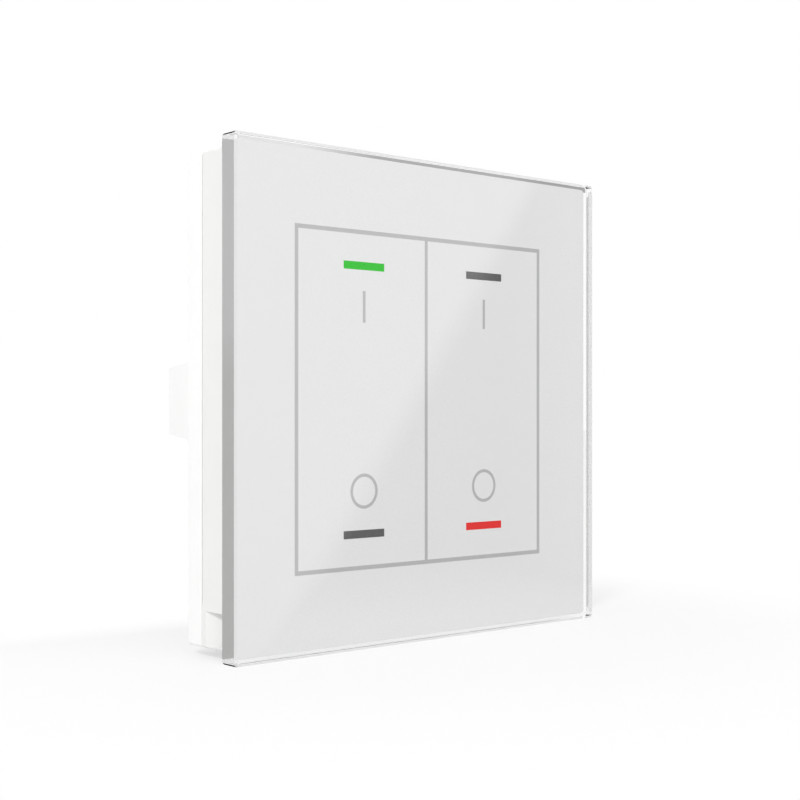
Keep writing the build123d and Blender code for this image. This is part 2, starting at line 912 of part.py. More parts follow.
# Relays: each function takes the X of the relay's middle


def level(height):
    """Y of a height above the power board."""
    return power_board_back + height


def yoke_inner_x(x):
    """X of the yoke leg's coil side, on which the armature's edge turns."""
    return x + hinge_setback


def core_x(x):
    return x - core_setback


def closing_angle():
    """Angle in degrees at which the armature meets the far edge of the pole."""
    reach = hinge_setback + core_setback + pole_radius
    return degrees(atan2(armature_gap - closing_gap, reach))


def moving_contact_x(x):
    return x + hinge_setback + armature_tail + contact_strip_reach() - contact_end_inset - contact_radius


def contact_strip_reach():
    """How far the contact strip stands out past the armature's tail."""
    return contact_strip_length - armature_length / 2 - armature_tail / 2


def contact_lift():
    """Height of the moving contact's edge above the hinge once the relay has pulled in."""
    reach = moving_contact_x(0) + contact_radius - hinge_setback
    rise = hinge_gap + armature_thickness + contact_strip_thickness + contact_height
    angle = radians(closing_angle())
    return reach * sin(angle) + rise * cos(angle)


def fixed_contact_level():
    """Height of the fixed contact's face, whose bracket ends just under the case's roof."""
    bracket_top = relay_height - relay_wall - contact_roof_gap
    return bracket_top - fixed_strip_thickness - fixed_contact_height


def hinge_level():
    """Height of the yoke leg's end, set so that the contacts just meet when the relay pulls in."""
    return fixed_contact_level() - closing_gap - contact_lift()


def armature_level():
    return hinge_level() + hinge_gap


def pole_top():
    return hinge_level() - armature_gap


def build_relay_base(x):
    inner_length = relay_length - 2 * relay_wall - 2 * relay_fit
    inner_width = relay_width - 2 * relay_wall - 2 * relay_fit
    return block(inner_length, inner_width, level(0), level(relay_base_thickness), x, relay_rise)


def build_relay_case(x):
    case = block(relay_length, relay_width, level(0), level(relay_height), x, relay_rise)
    case = fillet(case.faces().sort_by(Axis.Y)[-1].edges(), relay_wall / 2)
    inner_length = relay_length - 2 * relay_wall
    inner_width = relay_width - 2 * relay_wall
    inner_top = level(relay_height - relay_wall)
    return case - block(inner_length, inner_width, level(0), inner_top, x, relay_rise)


def yoke_foot_level():
    return relay_base_thickness + yoke_lift


def build_yoke(x):
    """L-shaped iron: a foot under the coil and a leg up to the armature's edge."""
    foot_end = yoke_inner_x(x) + yoke_leg_thickness
    foot_middle = foot_end - yoke_foot_length / 2
    bottom = level(relay_base_thickness)
    top = level(yoke_foot_level() + yoke_thickness)
    foot = block(yoke_foot_length, yoke_width, bottom, top, foot_middle, relay_rise)
    leg_middle = foot_end - yoke_leg_thickness / 2
    leg_top = level(hinge_level())
    return foot + block(yoke_leg_thickness, yoke_width, bottom, leg_top, leg_middle, relay_rise)


def bobbin_levels():
    bottom = yoke_foot_level() + yoke_thickness
    top = pole_top() - pole_height
    return bottom, top


def build_core(x):
    bottom, top = bobbin_levels()
    core = rod(core_radius, level(bottom), level(top), core_x(x), relay_rise)
    return core + rod(pole_radius, level(top), level(pole_top()), core_x(x), relay_rise)


def build_bobbin(x):
    bottom, top = bobbin_levels()
    tube_radius = core_radius + bobbin_tube_wall
    bobbin = rod(tube_radius, level(bottom), level(top), core_x(x), relay_rise)
    for start in (bottom, top - bobbin_flange_thickness):
        end = start + bobbin_flange_thickness
        bobbin += rod(bobbin_flange_radius, level(start), level(end), core_x(x), relay_rise)
    return bobbin - rod(core_radius, level(bottom), level(top), core_x(x), relay_rise)


def build_winding(x):
    bottom, top = bobbin_levels()
    start = level(bottom + bobbin_flange_thickness)
    end = level(top - bobbin_flange_thickness)
    winding = rod(winding_radius, start, end, core_x(x), relay_rise)
    return winding - rod(core_radius + bobbin_tube_wall, start, end, core_x(x), relay_rise)


def build_armature(x):
    bottom = level(armature_level())
    top = level(armature_level() + armature_thickness)
    end = yoke_inner_x(x) + armature_tail
    return block(armature_length, yoke_width, bottom, top, end - armature_length / 2, relay_rise)


def build_contact_strip(x):
    """Springy strip on the armature's back, with the moving contact at its free end."""
    bottom = armature_level() + armature_thickness
    top = bottom + contact_strip_thickness
    end = yoke_inner_x(x) + armature_tail + contact_strip_reach()
    strip = block(contact_strip_length, contact_strip_width, level(bottom), level(top),
                  end - contact_strip_length / 2, relay_rise)
    contact_top = level(top + contact_height)
    return strip + rod(contact_radius, level(top), contact_top, moving_contact_x(x), relay_rise)


def build_fixed_contact(x):
    """Bracket from the relay's base over the moving contact, with the fixed contact under its arm."""
    contact_x = moving_contact_x(x)
    face = fixed_contact_level()
    arm_bottom = face + fixed_contact_height
    arm_top = level(arm_bottom + fixed_strip_thickness)
    strip_end = contact_x + contact_radius + contact_end_inset
    outer = strip_end + fixed_strip_gap + fixed_strip_thickness
    inner = contact_x - contact_radius
    middle = (outer + inner) / 2
    arm = block(outer - inner, contact_strip_width, level(arm_bottom), arm_top, middle, relay_rise)
    post_middle = outer - fixed_strip_thickness / 2
    bracket = arm + block(fixed_strip_thickness, contact_strip_width, level(relay_base_thickness),
                          arm_top, post_middle, relay_rise)
    return bracket + rod(contact_radius, level(face), level(arm_bottom), contact_x, relay_rise)


# Nodes


def each(builder, places):
    """One group of the solids that a builder makes at every place."""
    return group([builder(*place) if isinstance(place, tuple) else builder(place) for place in places])


def collect_nodes():
    left, right = two_sides(zone_spread)
    low, high = two_sides(indicator_spread)
    dark_places = [(left, low), (right, high)]
    relay_left, relay_right = two_sides(relay_spread)
    nodes = {
        "glass_pane": build_glass_pane(),
        "white_back_print": build_white_print(),
        "grey_line_print": group(grey_marks()),
        "green_indicator_window": build_indicator_window(left, high),
        "red_indicator_window": build_indicator_window(right, low),
        "unlit_indicator_windows": each(build_indicator_window, dark_places),
        "bonding_sheet": build_bonding_sheet(),
        "panel_carrier": build_panel_carrier(),
        "front_housing": build_front_housing(),
        "panel_spring_clips": each(build_spring_clip, four_places(tongue_spread_x, tongue_spread_z)),
        "green_light_guide": build_light_guide(left, high),
        "red_light_guide": build_light_guide(right, low),
        "unlit_light_guides": each(build_light_guide, dark_places),
        "touch_board": build_touch_board(),
        "touch_board_screws": each(build_touch_board_screw, touch_board_screw_places()),
        "sensing_pads": each(build_sensing_pad, sensing_places()),
        "indicator_leds": each(build_led, indicator_places()),
        "touch_controller_chip": build_touch_chip(),
        "touch_board_capacitors": each(build_small_part, range(small_part_count)),
        "board_socket": build_socket(),
        "pin_strip_body": build_strip_body(),
        "pin_strip_pins": build_pins(),
        "rear_base": build_rear_base(),
        "fixing_slot_plates": each(build_slot_plate, two_sides(fixing_spacing)),
        "housing_screws": each(build_housing_screw, four_places(pillar_spread, pillar_spread)),
        "in_wall_box": build_in_wall_box(),
        "in_wall_box_screws": each(build_box_screw, box_screw_places()),
        "power_board": build_power_board(),
        "power_board_screws": each(build_power_screw, power_screw_places()),
        "film_capacitor": build_film_capacitor(),
        "storage_capacitor": build_storage_capacitor(),
        "bridge_rectifier": build_rectifier(),
        "line_fuse": build_fuse(),
        "surge_varistor": build_varistor(),
        "supply_regulator": build_regulator(),
        "terminal_block": build_terminal_block(),
        "terminal_bars": each(build_terminal_bar, terminal_places()),
        "relay_bases": each(build_relay_base, two_sides(relay_spread)),
        "relay_cases": each(build_relay_case, two_sides(relay_spread)),
        "relay_yokes": each(build_yoke, two_sides(relay_spread)),
        "relay_cores": each(build_core, two_sides(relay_spread)),
        "relay_bobbins": each(build_bobbin, two_sides(relay_spread)),
        "relay_windings": each(build_winding, two_sides(relay_spread)),
        "relay_fixed_contacts": each(build_fixed_contact, two_sides(relay_spread)),
        "left_relay_armature": build_armature(relay_left),
        "left_relay_contact_strip": build_contact_strip(relay_left),
        "right_relay_armature": build_armature(relay_right),
        "right_relay_contact_strip": build_contact_strip(relay_right),
    }
    for name, x in zip(terminal_names, terminal_places()):
        nodes[f"{name}_clamp_cage"] = build_clamp_cage(x)
        nodes[f"{name}_clamp_screw"] = build_clamp_screw(x)
    return nodes


os.makedirs("parts", exist_ok=True)
for node_name, shape in collect_nodes().items():
    export_step(shape, f"parts/{node_name}.step")

print("depth in front of the wall", round(-glass_front, 3), "and behind it", round(band_back, 3))
print("relay hinge at x", [round(yoke_inner_x(x), 3) for x in two_sides(relay_spread)],
      "y", round(level(hinge_level()), 3), "z", round(relay_rise, 3),
      "closing angle", round(closing_angle(), 3))
print("clamp screw axes at x", terminal_places(), "y", round(clamp_axis_y(), 3))
print("wire entries at z", round(wire_entry_height, 3),
      "wall from", round(well_back, 3), "to", round(band_back, 3))
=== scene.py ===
"""Looks of a glass-fronted touch light switch with its relay unit in the wall.

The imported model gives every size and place. This file adds the polished glass pane, the finish
of every piece, a plain studio and the camera. Lengths are in metres, angles in degrees.
"""
import json
import logging
from abc import ABC, abstractmethod
from dataclasses import dataclass
from enum import Enum
from math import radians
from typing import Protocol

import bmesh
import bpy
from mathutils import Matrix, Vector


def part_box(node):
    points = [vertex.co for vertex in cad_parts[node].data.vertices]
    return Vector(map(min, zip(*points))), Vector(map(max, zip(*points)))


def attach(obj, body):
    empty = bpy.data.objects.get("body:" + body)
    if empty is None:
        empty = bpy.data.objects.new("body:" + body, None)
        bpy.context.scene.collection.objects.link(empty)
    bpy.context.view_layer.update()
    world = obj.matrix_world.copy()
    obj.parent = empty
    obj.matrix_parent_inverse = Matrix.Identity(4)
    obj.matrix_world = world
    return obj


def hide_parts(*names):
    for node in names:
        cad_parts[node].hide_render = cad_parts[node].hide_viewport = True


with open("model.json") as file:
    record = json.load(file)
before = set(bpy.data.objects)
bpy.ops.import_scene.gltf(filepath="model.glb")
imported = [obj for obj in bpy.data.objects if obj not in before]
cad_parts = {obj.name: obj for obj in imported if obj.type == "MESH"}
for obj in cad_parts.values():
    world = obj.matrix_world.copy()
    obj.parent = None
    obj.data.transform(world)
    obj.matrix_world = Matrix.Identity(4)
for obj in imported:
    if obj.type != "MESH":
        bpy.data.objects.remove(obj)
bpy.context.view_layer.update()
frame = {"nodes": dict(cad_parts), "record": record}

MM = 0.001
LOG = logging.getLogger("touch_switch")

Colour = tuple[float, float, float]
Place = tuple[float, float, float]
Socket = bpy.types.NodeSocket

EVEN = (1.0, 1.0, 1.0)
WHITE = (1.0, 1.0, 1.0)
BLACK = (0.0, 0.0, 0.0)

# Most values of a noise lie between these two.
NOISE_LOW = 0.3
NOISE_HIGH = 0.7

# Bands that a band pattern of scale 1 draws on one unit of length.
BANDS_PER_UNIT = 3.1

# Nodes that are brighter in the photograph than the other pieces of their slot: they get a lighter copy of
# its material, which is painted light.
PAINTED_LIGHT_NODES = {"rear_base": "painted_light_moulding"}


class Direction(Enum):
    """An axis of the model."""

    ACROSS = 0
    DEPTH = 1
    UP = 2


class Fade(Enum):
    """How a value goes from its first to its last."""

    STRAIGHT = "LINEAR"
    SOFT = "SMOOTHSTEP"


class Ray(Enum):
    """The kind of light path that meets a surface."""

    CAMERA = "Is Camera Ray"
    SHADOW = "Is Shadow Ray"
    DIFFUSE = "Is Diffuse Ray"
    GLOSSY = "Is Glossy Ray"
    TRANSMISSION = "Is Transmission Ray"


class PaneFace(Enum):
    """The kinds of face of the glass pane, in the order of its materials."""

    CLEAR = "clear_glass"
    GROUND = "ground_edge"
    # Corner chamfers wear near-black ink that lets lamps through: painted shade where the glass corners
    # look dark.
    CORNER = "dark_arris"


class ShaderSheet:
    """A material's node tree, with short calls to fill it."""

    output_node: str = "ShaderNodeOutputMaterial"

    def __init__(self, name: str) -> None:
        """Starts an empty sheet.

        Args:
            name: The material's name.
        """
        self.owner = self.new_owner(name)
        self.owner.use_nodes = True
        self.tree = self.owner.node_tree
        self.tree.nodes.clear()

    def new_owner(self, name: str) -> bpy.types.ID:
        """Makes the material that the sheet fills."""
        return bpy.data.materials.new(name)

    def node(self, kind: str, **values: object) -> bpy.types.Node:
        """Adds a node and sets its properties.

        Args:
            kind: Blender's name of the node.
            values: Properties of the node by name.

        Returns:
            The new node.
        """
        made = self.tree.nodes.new(kind)
        for key, value in values.items():
            setattr(made, key, value)
        return made

    def link(self, source: Socket, target: Socket) -> None:
        """Joins an output to an input."""
        self.tree.links.new(source, target)

    def feed(self, source: Socket | float, target: Socket) -> None:
        """Joins an output to an input, or sets the input to a number.

        Args:
            source: An output or a number.
            target: The input.
        """
        if isinstance(source, Socket):
            self.link(source, target)
        else:
            target.default_value = source

    def place(self, scale: Place = EVEN) -> Socket:
        """Object coordinates, stretched by a scale.

        Args:
            scale: Factor along X, Y and Z.

        Returns:
            The stretched coordinates.
        """
        coordinates = self.node("ShaderNodeTexCoord")
        mapping = self.node("ShaderNodeMapping")
        mapping.inputs["Scale"].default_value = scale
        self.link(coordinates.outputs["Object"], mapping.inputs["Vector"])
        return mapping.outputs["Vector"]

    def axes(self) -> tuple[Socket, Socket, Socket]:
        """Object coordinates one by one.

        Returns:
            Their X, Y and Z.
        """
        apart = self.node("ShaderNodeSeparateXYZ")
        self.link(self.place(), apart.inputs[0])
        return tuple(apart.outputs)

    def distance(self) -> Socket:
        """The distance of a place from the origin.

        Returns:
            The distance.
        """
        length = self.node("ShaderNodeVectorMath", operation="LENGTH")
        self.link(self.place(), length.inputs[0])
        return length.outputs["Value"]

    def rays(self, *kinds: Ray) -> Socket:
        """One for light paths of any of these kinds, and zero for the others."""
        path = self.node("ShaderNodeLightPath")
        return self.largest(*(path.outputs[kind.value] for kind in kinds))

    def math(self, operation: str, first: Socket, second: Socket | float) -> Socket:
        """A calculation with two values.

        Args:
            operation: Blender's name of the operation.
            first: The first value.
            second: The second value, an output or a number.

        Returns:
            The result.
        """
        step = self.node("ShaderNodeMath", operation=operation)
        self.link(first, step.inputs[0])
        self.feed(second, step.inputs[1])
        return step.outputs[0]

    def largest(self, *values: Socket) -> Socket:
        """The largest of some values.

        Args:
            values: One value or more.

        Returns:
            The largest.
        """
        most = values[0]
        for value in values[1:]:
            most = self.math("MAXIMUM", most, value)
        return most

    def noise(self, cell: float, detail: float = 3.0, scale: Place = EVEN) -> Socket:
        """Noise of a cell size in metres.

        Args:
            cell: Size of the noise's main lumps.
            detail: Number of finer layers.
            scale: Stretch along X, Y and Z.

        Returns:
            The noise's value, around one half.
        """
        texture = self.node("ShaderNodeTexNoise")
        texture.inputs["Scale"].default_value = 1.0 / cell
        texture.inputs["Detail"].default_value = detail
        self.link(self.place(scale), texture.inputs["Vector"])
        return texture.outputs["Fac"]

    def ramp(self, value: Socket, start: float, end: float, first: float = 0.0, last: float = 1.0,
             fade: Fade = Fade.SOFT) -> Socket:
        """A value that goes from first to last while another goes from start to end.

        Args:
            value: The other value.
            start: Where it starts.
            end: Where it ends.
            first: The result at the start and before it.
            last: The result at the end and past it.
            fade: The way from first to last.

        Returns:
            The result.
        """
        mapped = self.node("ShaderNodeMapRange", interpolation_type=fade.value)
        for key, number in (("From Min", start), ("From Max", end), ("To Min", first), ("To Max", last)):
            mapped.inputs[key].default_value = number
        self.link(value, mapped.inputs["Value"])
        return mapped.outputs["Result"]

    def spread(self, value: Socket, low: float, high: float) -> Socket:
        """Maps the middle range of a noise onto low to high."""
        return self.ramp(value, NOISE_LOW, NOISE_HIGH, low, high, Fade.STRAIGHT)

    def blend(self, share: Socket, first: Colour, last: Colour) -> Socket:
        """Colour that runs from first to last as a share goes from 0 to 1.

        Args:
            share: The share of the last colour.
            first: The first colour.
            last: The last colour.

        Returns:
            The colour.
        """
        mixed = self.node("ShaderNodeMix", data_type="RGBA")
        mixed.inputs["A"].default_value = (*first, 1.0)
        mixed.inputs["B"].default_value = (*last, 1.0)
        self.link(share, mixed.inputs["Factor"])
        return mixed.outputs["Result"]

    def tones(self, value: Socket, first: Colour, last: Colour) -> Socket:
        """Colour that runs from first to last over the middle range of a noise."""
        return self.blend(self.spread(value, 0.0, 1.0), first, last)

    def relief(self, height: Socket, depth: float, strength: float = 1.0) -> Socket:
        """Normal of a surface with a height pattern.

        Args:
            height: The pattern.
            depth: Its depth in metres.
            strength: The share of it that shows.

        Returns:
            The normal.
        """
        bump = self.node("ShaderNodeBump")
        bump.inputs["Distance"].default_value = depth
        bump.inputs["Strength"].default_value = strength
        self.link(height, bump.inputs["Height"])
        return bump.outputs["Normal"]

    def principled(self, colour: Colour, roughness: float, **sockets: float) -> bpy.types.Node:
        """A Principled shader.

        Args:
            colour: Base colour.
            roughness: Roughness.
            sockets: Other sockets by name, with underscores for spaces.

        Returns:
            The shader node.
        """
        shader = self.node("ShaderNodeBsdfPrincipled")
        shader.inputs["Base Color"].default_value = (*colour, 1.0)
        shader.inputs["Roughness"].default_value = roughness
        for key, value in sockets.items():
            shader.inputs[key.replace("_", " ")].default_value = value
        return shader

    def glow(self, strength: Socket | float = 1.0) -> Socket:
        """A surface that gives off white light.

        Args:
            strength: The light's strength, where 1 is white.

        Returns:
            The shader.
        """
        light = self.node("ShaderNodeEmission")
        self.feed(strength, light.inputs["Strength"])
        return light.outputs[0]

    def mix(self, share: Socket, first: Socket, last: Socket) -> Socket:
        """Mixes two shaders.

        Args:
            share: The share of the last one.
            first: The first shader.
            last: The last shader.

        Returns:
            The mixed shader.
        """
        mixed = self.node("ShaderNodeMixShader")
        for source, target in zip((share, first, last), mixed.inputs):
            self.link(source, target)
        return mixed.outputs[0]

    def lamps_through(self, shader: Socket) -> Socket:
        """Lets light pass straight through a clear shader to what lies behind it."""
        clear = self.node("ShaderNodeBsdfTransparent")
        return self.mix(self.rays(Ray.SHADOW, Ray.DIFFUSE), shader, clear.outputs[0])

    def finish(self, shader: Socket) -> bpy.types.ID:
        """Joins a shader to the output.

        Args:
            shader: What the surface shows.

        Returns:
            The finished material.
        """
        output = self.node(self.output_node)
        self.link(shader, output.inputs["Surface"])
        return self.owner


class WorldSheet(ShaderSheet):
    """The world's node tree, filled with the same calls."""

    output_node: str = "ShaderNodeOutputWorld"

    def new_owner(self, name: str) -> bpy.types.ID:
        """Makes the scene's world."""
        bpy.context.scene.world = bpy.data.worlds.new(name)
        return bpy.context.scene.world

    def background(self, strength: float) -> Socket:
        """White light of a strength from all around.

        Args:
            strength: The strength, where 1 is white.

        Returns:
            The shader.
        """
        light = self.node("ShaderNodeBackground")
        light.inputs["Color"].default_value = (*WHITE, 1.0)
        light.inputs["Strength"].default_value = strength
        return light.outputs[0]


def grey(tone: float) -> Colour:
    """An even grey."""
    return (tone, tone, tone)


def shade(colour: Colour, factor: float) -> Colour:
    """A colour made darker or lighter by a factor."""
    return tuple(min(part * factor, 1.0) for part in colour)


class Finish(ABC):
    """The look of a surface, from which a material is made."""

    def material(self, name: str) -> bpy.types.Material:
        """Builds the material.

        Args:
            name: The material's name.

        Returns:
            The material.
        """
        sheet = ShaderSheet(name)
        return sheet.finish(self.surface(sheet))

    @abstractmethod
    def surface(self, sheet: ShaderSheet) -> Socket:
        """Fills a sheet.

        Args:
            sheet: The material's sheet, still empty.

        Returns:
            The shader of the surface.
        """


@dataclass(frozen=True)
class PolishedGlass(Finish):
    """Clear glass or acrylic that lets lamps through to what lies behind it."""

    tint: Colour = (0.985, 0.99, 0.988)
    index: float = 1.5
    roughness: float = 0.0

    def surface(self, sheet: ShaderSheet) -> Socket:
        """Fills the sheet with clear glass."""
        glass = sheet.principled(self.tint, self.roughness, IOR=self.index, Transmission_Weight=1.0)
        return sheet.lamps_through(glass.outputs[0])


@dataclass(frozen=True)
class GroundEdge(Finish):
    """Edge of a glass pane, left satin by the grinding wheel, which looks clear from inside the glass."""

    upper: Colour = grey(0.42)
    lower_painted_shade: Colour = (0.362, 0.362, 0.354)
    roughness: float = 0.4
    clearness: float = 0.2
    index: float = 1.5
    mark: float = 0.1 * MM
    mark_stretch: float = 10.0
    mark_depth: float = 0.002 * MM
    turn_height: float = 8 * MM
    turn_length: float = 12 * MM

    def surface(self, sheet: ShaderSheet) -> Socket:
        """Fills the sheet with the satin outside, with painted shade that makes it a little darker low
        down, and the clear inside.

        Args:
            sheet: The material's sheet.

        Returns:
            The shader of the surface.
        """
        satin = sheet.principled(self.upper, self.roughness, IOR=self.index,
                                 Transmission_Weight=self.clearness)
        # Painted shade: the satin's colour turns darker towards the bottom of the edge.
        up = sheet.axes()[Direction.UP.value]
        half = self.turn_length / 2
        height = sheet.ramp(up, self.turn_height - half, self.turn_height + half)
        sheet.link(sheet.blend(height, self.lower_painted_shade, self.upper), satin.inputs["Base Color"])
        along = 1.0 / self.mark_stretch
        marks = sheet.noise(self.mark, 3.0, (along, 1.0, along))
        sheet.link(sheet.relief(marks, self.mark_depth), satin.inputs["Normal"])
        clear = sheet.principled(WHITE, 0.0, IOR=self.index, Transmission_Weight=1.0)
        inside = sheet.node("ShaderNodeNewGeometry").outputs["Backfacing"]
        return sheet.lamps_through(sheet.mix(inside, satin.outputs[0], clear.outputs[0]))


@dataclass(frozen=True)
class PrintedInk(Finish):
    """Screen-printed enamel with a faint unevenness of the screen."""

    colour: Colour
    passes_lamps: bool = False
    unevenness: float = 0.02
    screen_cell: float = 0.35 * MM
    roughness: float = 0.6

    def surface(self, sheet: ShaderSheet) -> Socket:
        """Fills the sheet with matt ink.

        Args:
            sheet: The material's sheet.

        Returns:
            The shader of the surface.
        """
        ink = sheet.principled(self.colour, self.roughness, Specular_IOR_Level=0.0)
        thin, thick = shade(self.colour, 1 - self.unevenness), shade(self.colour, 1 + self.unevenness)
        sheet.link(sheet.tones(sheet.noise(self.screen_cell, 2.0), thin, thick), ink.inputs["Base Color"])
        return sheet.lamps_through(ink.outputs[0]) if self.passes_lamps else ink.outputs[0]


@dataclass(frozen=True)
class IndicatorWindow(Finish):
    """Diffusing ink over a lamp, which glows when the lamp is lit."""

    colour: Colour
    glow: Colour = BLACK
    strength: float = 0.0
    grain: float = 0.25 * MM
    unevenness: float = 0.04
    roughness: float = 0.5

    def surface(self, sheet: ShaderSheet) -> Socket:
        """Fills the sheet with coloured ink and its glow.

        Args:
            sheet: The material's sheet.

        Returns:
            The shader of the surface.
        """
        ink = sheet.principled(self.colour, self.roughness, Specular_IOR_Level=0.0)
        thin, thick = shade(self.colour, 1 - self.unevenness), shade(self.colour, 1 + self.unevenness)
        sheet.link(sheet.tones(sheet.noise(self.grain, 2.0), thin, thick), ink.inputs["Base Color"])
        if self.strength > 0:
            ink.inputs["Emission Color"].default_value = (*self.glow, 1.0)
            ink.inputs["Emission Strength"].default_value = self.strength
        return ink.outputs[0]


@dataclass(frozen=True)
class MouldedPlastic(Finish):
    """Moulded plastic with the fine texture of its tool and a slightly uneven sheen."""

    colour: Colour
    roughness: float = 0.42
    grain: float = 0.12 * MM
    depth: float = 0.004 * MM
    mottle: float = 0.012
    mottle_cell: float = 14 * MM
    sheen_cell: float = 5 * MM
    smoother: float = 0.04
    rougher: float = 0.05
    index: float = 1.5

    def surface(self, sheet: ShaderSheet) -> Socket:
        """Fills the sheet with plastic.

        Args:
            sheet: The material's sheet.

        Returns:
            The shader of the surface.
        """
        plastic = sheet.principled(self.colour, self.roughness, IOR=self.index)
        dark, light = shade(self.colour, 1 - self.mottle), shade(self.colour, 1 + self.mottle)
        sheet.link(sheet.tones(sheet.noise(self.mottle_cell), dark, light), plastic.inputs["Base Color"])
        sheen = sheet.noise(self.sheen_cell, 4.0)
        sheet.link(sheet.spread(sheen, self.roughness - self.smoother, self.roughness + self.rougher),
                   plastic.inputs["Roughness"])
        sheet.link(sheet.relief(sheet.noise(self.grain), self.depth), plastic.inputs["Normal"])
        return plastic.outputs[0]


@dataclass(frozen=True)
class WorkedMetal(Finish):
    """Plated, rolled or turned metal, with brush marks along one direction."""

    colour: Colour
    roughness: float = 0.3
    direction: Direction = Direction.UP
    mark: float = 0.07 * MM
    stretch: float = 25.0
    depth: float = 0.003 * MM
    darker: float = 0.95
    lighter: float = 1.03
    smoother: float = 0.06
    rougher: float = 0.1

    def surface(self, sheet: ShaderSheet) -> Socket:
        """Fills the sheet with marked metal.

        Args:
            sheet: The material's sheet.

        Returns:
            The shader of the surface.
        """
        metal = sheet.principled(self.colour, self.roughness, Metallic=1.0)
        scale = list(EVEN)
        scale[self.direction.value] = 1.0 / self.stretch
        marks = sheet.noise(self.mark, 4.0, tuple(scale))
        sheet.link(sheet.tones(marks, shade(self.colour, self.darker), shade(self.colour, self.lighter)),
                   metal.inputs["Base Color"])
        sheet.link(sheet.spread(marks, self.roughness - self.smoother, self.roughness + self.rougher),
                   metal.inputs["Roughness"])
        sheet.link(sheet.relief(marks, self.depth), metal.inputs["Normal"])
        return metal.outputs[0]


@dataclass(frozen=True)
class CircuitBoard(Finish):
    """Glass laminate under solder mask, with straight tracks that show through it as lighter lines."""

    mask: Colour = (0.012, 0.12, 0.045)
    track: Colour = (0.03, 0.2, 0.08)
    pitch: float = 1.3 * MM
    run: float = 6.5 * MM
    track_width: float = 0.3 * MM
    track_height: float = 0.02 * MM
    roughness: float = 0.32

    def surface(self, sheet: ShaderSheet) -> Socket:
        """Fills the sheet with board.

        Args:
            sheet: The material's sheet.

        Returns:
            The shader of the surface.
        """
        board = sheet.principled(self.mask, self.roughness, Coat_Weight=0.3, Coat_Roughness=0.1)
        across, _, up = sheet.axes()
        flat = sheet.node("ShaderNodeCombineXYZ")
        sheet.link(across, flat.inputs["X"])
        sheet.link(up, flat.inputs["Y"])
        tracks = sheet.node("ShaderNodeTexBrick", offset=0.37, offset_frequency=3, squash=0.6,
                            squash_frequency=4)
        sizes = {"Scale": 1.0, "Row Height": self.pitch, "Brick Width": self.run,
                 "Mortar Size": self.track_width / 2, "Mortar Smooth": 0.2}
        for key, number in sizes.items():
            tracks.inputs[key].default_value = number
        sheet.link(flat.outputs[0], tracks.inputs["Vector"])
        sheet.link(sheet.tones(tracks.outputs["Fac"], self.mask, self.track), board.inputs["Base Color"])
        sheet.link(sheet.relief(tracks.outputs["Fac"], self.track_height, 0.5), board.inputs["Normal"])
        return board.outputs[0]


@dataclass(frozen=True)
class WoundWire(Finish):
    """Enamelled wire in close turns along the coil."""

    colour: Colour
    wire: float = 0.12 * MM
    groove_painted_shade: float = 0.6
    roughness: float = 0.35

    def surface(self, sheet: ShaderSheet) -> Socket:
        """Fills the sheet with turns of wire.

        Args:
            sheet: The material's sheet.

        Returns:
            The shader of the surface.
        """
        copper = sheet.principled(self.colour, self.roughness, Metallic=0.9, Coat_Weight=0.5)
        turns = sheet.node("ShaderNodeTexWave", wave_type="BANDS", bands_direction="Y")
        turns.inputs["Scale"].default_value = 1.0 / (self.wire * BANDS_PER_UNIT)
        turns.inputs["Distortion"].default_value = 0.4
        sheet.link(sheet.place(), turns.inputs["Vector"])
        # Painted shade: the wire's colour darkens in the grooves between the turns.
        sheet.link(sheet.tones(turns.outputs["Fac"], shade(self.colour, self.groove_painted_shade), self.colour),
                   copper.inputs["Base Color"])
        sheet.link(sheet.relief(turns.outputs["Fac"], self.wire / 2), copper.inputs["Normal"])
        return copper.outputs[0]


@dataclass(frozen=True)
class CellFoam(Finish):
    """Soft foam or sheet with open cells."""

    colour: Colour
    cell: float = 0.3 * MM
    cell_depth: float = 0.05 * MM
    darker: float = 0.6
    lighter: float = 1.2
    roughness: float = 0.85

    def surface(self, sheet: ShaderSheet) -> Socket:
        """Fills the sheet with cells.

        Args:
            sheet: The material's sheet.

        Returns:
            The shader of the surface.
        """
        foam = sheet.principled(self.colour, self.roughness, Sheen_Weight=0.2)
        cells = sheet.node("ShaderNodeTexVoronoi")
        cells.inputs["Scale"].default_value = 1.0 / self.cell
        sheet.link(sheet.place(), cells.inputs["Vector"])
        walls = cells.outputs["Distance"]
        # Painted shade: each cell's colour darkens towards its hollow middle.
        sheet.link(sheet.tones(walls, shade(self.colour, self.darker), shade(self.colour, self.lighter)),
                   foam.inputs["Base Color"])
        sheet.link(sheet.relief(walls, self.cell_depth), foam.inputs["Normal"])
        return foam.outputs[0]


